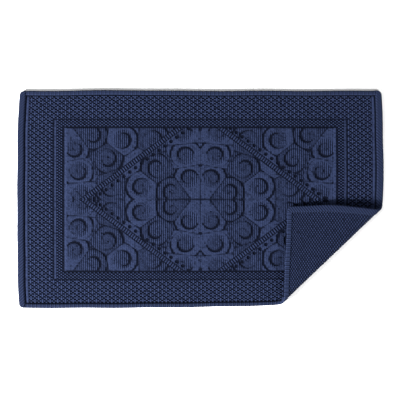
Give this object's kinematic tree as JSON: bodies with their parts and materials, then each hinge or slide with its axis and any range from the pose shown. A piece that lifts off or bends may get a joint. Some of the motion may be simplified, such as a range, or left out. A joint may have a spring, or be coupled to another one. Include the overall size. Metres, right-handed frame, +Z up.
{
  "type": "bath mat",
  "caption": "Rectangular woven cotton bath mat with a raised panel, stepped border, hemmed edges and one corner folded over.",
  "frame": {"origin": "on the floor, under the middle of the flat mat", "axes": "+X along the mat's length towards the folded end, +Y across its width away from the folded corner, +Z up"},
  "size_m": [1.0004, 0.6004, 0.0279],
  "materials": {
    "face_cotton": "matt raised jacquard weave in navy",
    "back_cotton": "matt plain basket weave in navy",
    "filler_cotton": "soft loosely spun yarn in navy",
    "end_hem_cotton": "matt twill band in navy",
    "side_hem_cotton": "matt ribbed turned edge in navy",
    "seam_thread": "dull spun sewing thread in dark navy"
  },
  "bodies": {
    "mat": {"back_cloth": "back_cotton", "face_cloth": "face_cotton", "front_side_hem": "side_hem_cotton", "front_side_seam_thread": "seam_thread", "left_end_hem": "end_hem_cotton", "left_end_seam_thread": "seam_thread", "rear_side_hem": "side_hem_cotton", "rear_side_seam_thread": "seam_thread", "right_end_hem": "end_hem_cotton", "right_end_seam_thread": "seam_thread", "wadding": "filler_cotton"},
    "fold_1": {"fold_1_back_cloth": "back_cotton", "fold_1_face_cloth": "face_cotton", "fold_1_front_side_hem": "side_hem_cotton", "fold_1_front_side_seam_thread": "seam_thread", "fold_1_right_end_hem": "end_hem_cotton", "fold_1_right_end_seam_thread": "seam_thread", "fold_1_wadding": "filler_cotton"},
    "fold_2": {"fold_2_back_cloth": "back_cotton", "fold_2_face_cloth": "face_cotton", "fold_2_front_side_hem": "side_hem_cotton", "fold_2_front_side_seam_thread": "seam_thread", "fold_2_right_end_hem": "end_hem_cotton", "fold_2_right_end_seam_thread": "seam_thread", "fold_2_wadding": "filler_cotton"},
    "fold_3": {"fold_3_back_cloth": "back_cotton", "fold_3_face_cloth": "face_cotton", "fold_3_front_side_hem": "side_hem_cotton", "fold_3_front_side_seam_thread": "seam_thread", "fold_3_right_end_hem": "end_hem_cotton", "fold_3_right_end_seam_thread": "seam_thread", "fold_3_wadding": "filler_cotton"},
    "corner": {"corner_back_cloth": "back_cotton", "corner_face_cloth": "face_cotton", "corner_front_side_hem": "side_hem_cotton", "corner_front_side_seam_thread": "seam_thread", "corner_right_end_hem": "end_hem_cotton", "corner_right_end_seam_thread": "seam_thread", "corner_wadding": "filler_cotton"}
  },
  "joints": [
    {"name": "fold_hinge_1", "type": "hinge", "parent": "mat", "child": "fold_1", "pos_m": [0.24173, -0.25296, 0.0028], "axis": [0.723, 0.6909, 0], "range_deg": [0, 46.2]},
    {"name": "fold_hinge_2", "type": "hinge", "parent": "fold_1", "child": "fold_2", "pos_m": [0.24622, -0.25766, 0.00957], "axis": [0.723, 0.6909, 0], "range_deg": [0, 46.2]},
    {"name": "fold_hinge_3", "type": "hinge", "parent": "fold_2", "child": "fold_3", "pos_m": [0.24595, -0.25737, 0.01895], "axis": [0.723, 0.6909, 0], "range_deg": [0, 46.2]},
    {"name": "fold_hinge_4", "type": "hinge", "parent": "fold_3", "child": "corner", "pos_m": [0.24109, -0.25228, 0.02515], "axis": [0.723, 0.6909, 0], "range_deg": [0, 46.2]}
  ],
  "couplings": [
    {"joint": "fold_hinge_2", "follows": "fold_hinge_1", "ratio": 1},
    {"joint": "fold_hinge_3", "follows": "fold_hinge_1", "ratio": 1},
    {"joint": "fold_hinge_4", "follows": "fold_hinge_1", "ratio": 1}
  ]
}
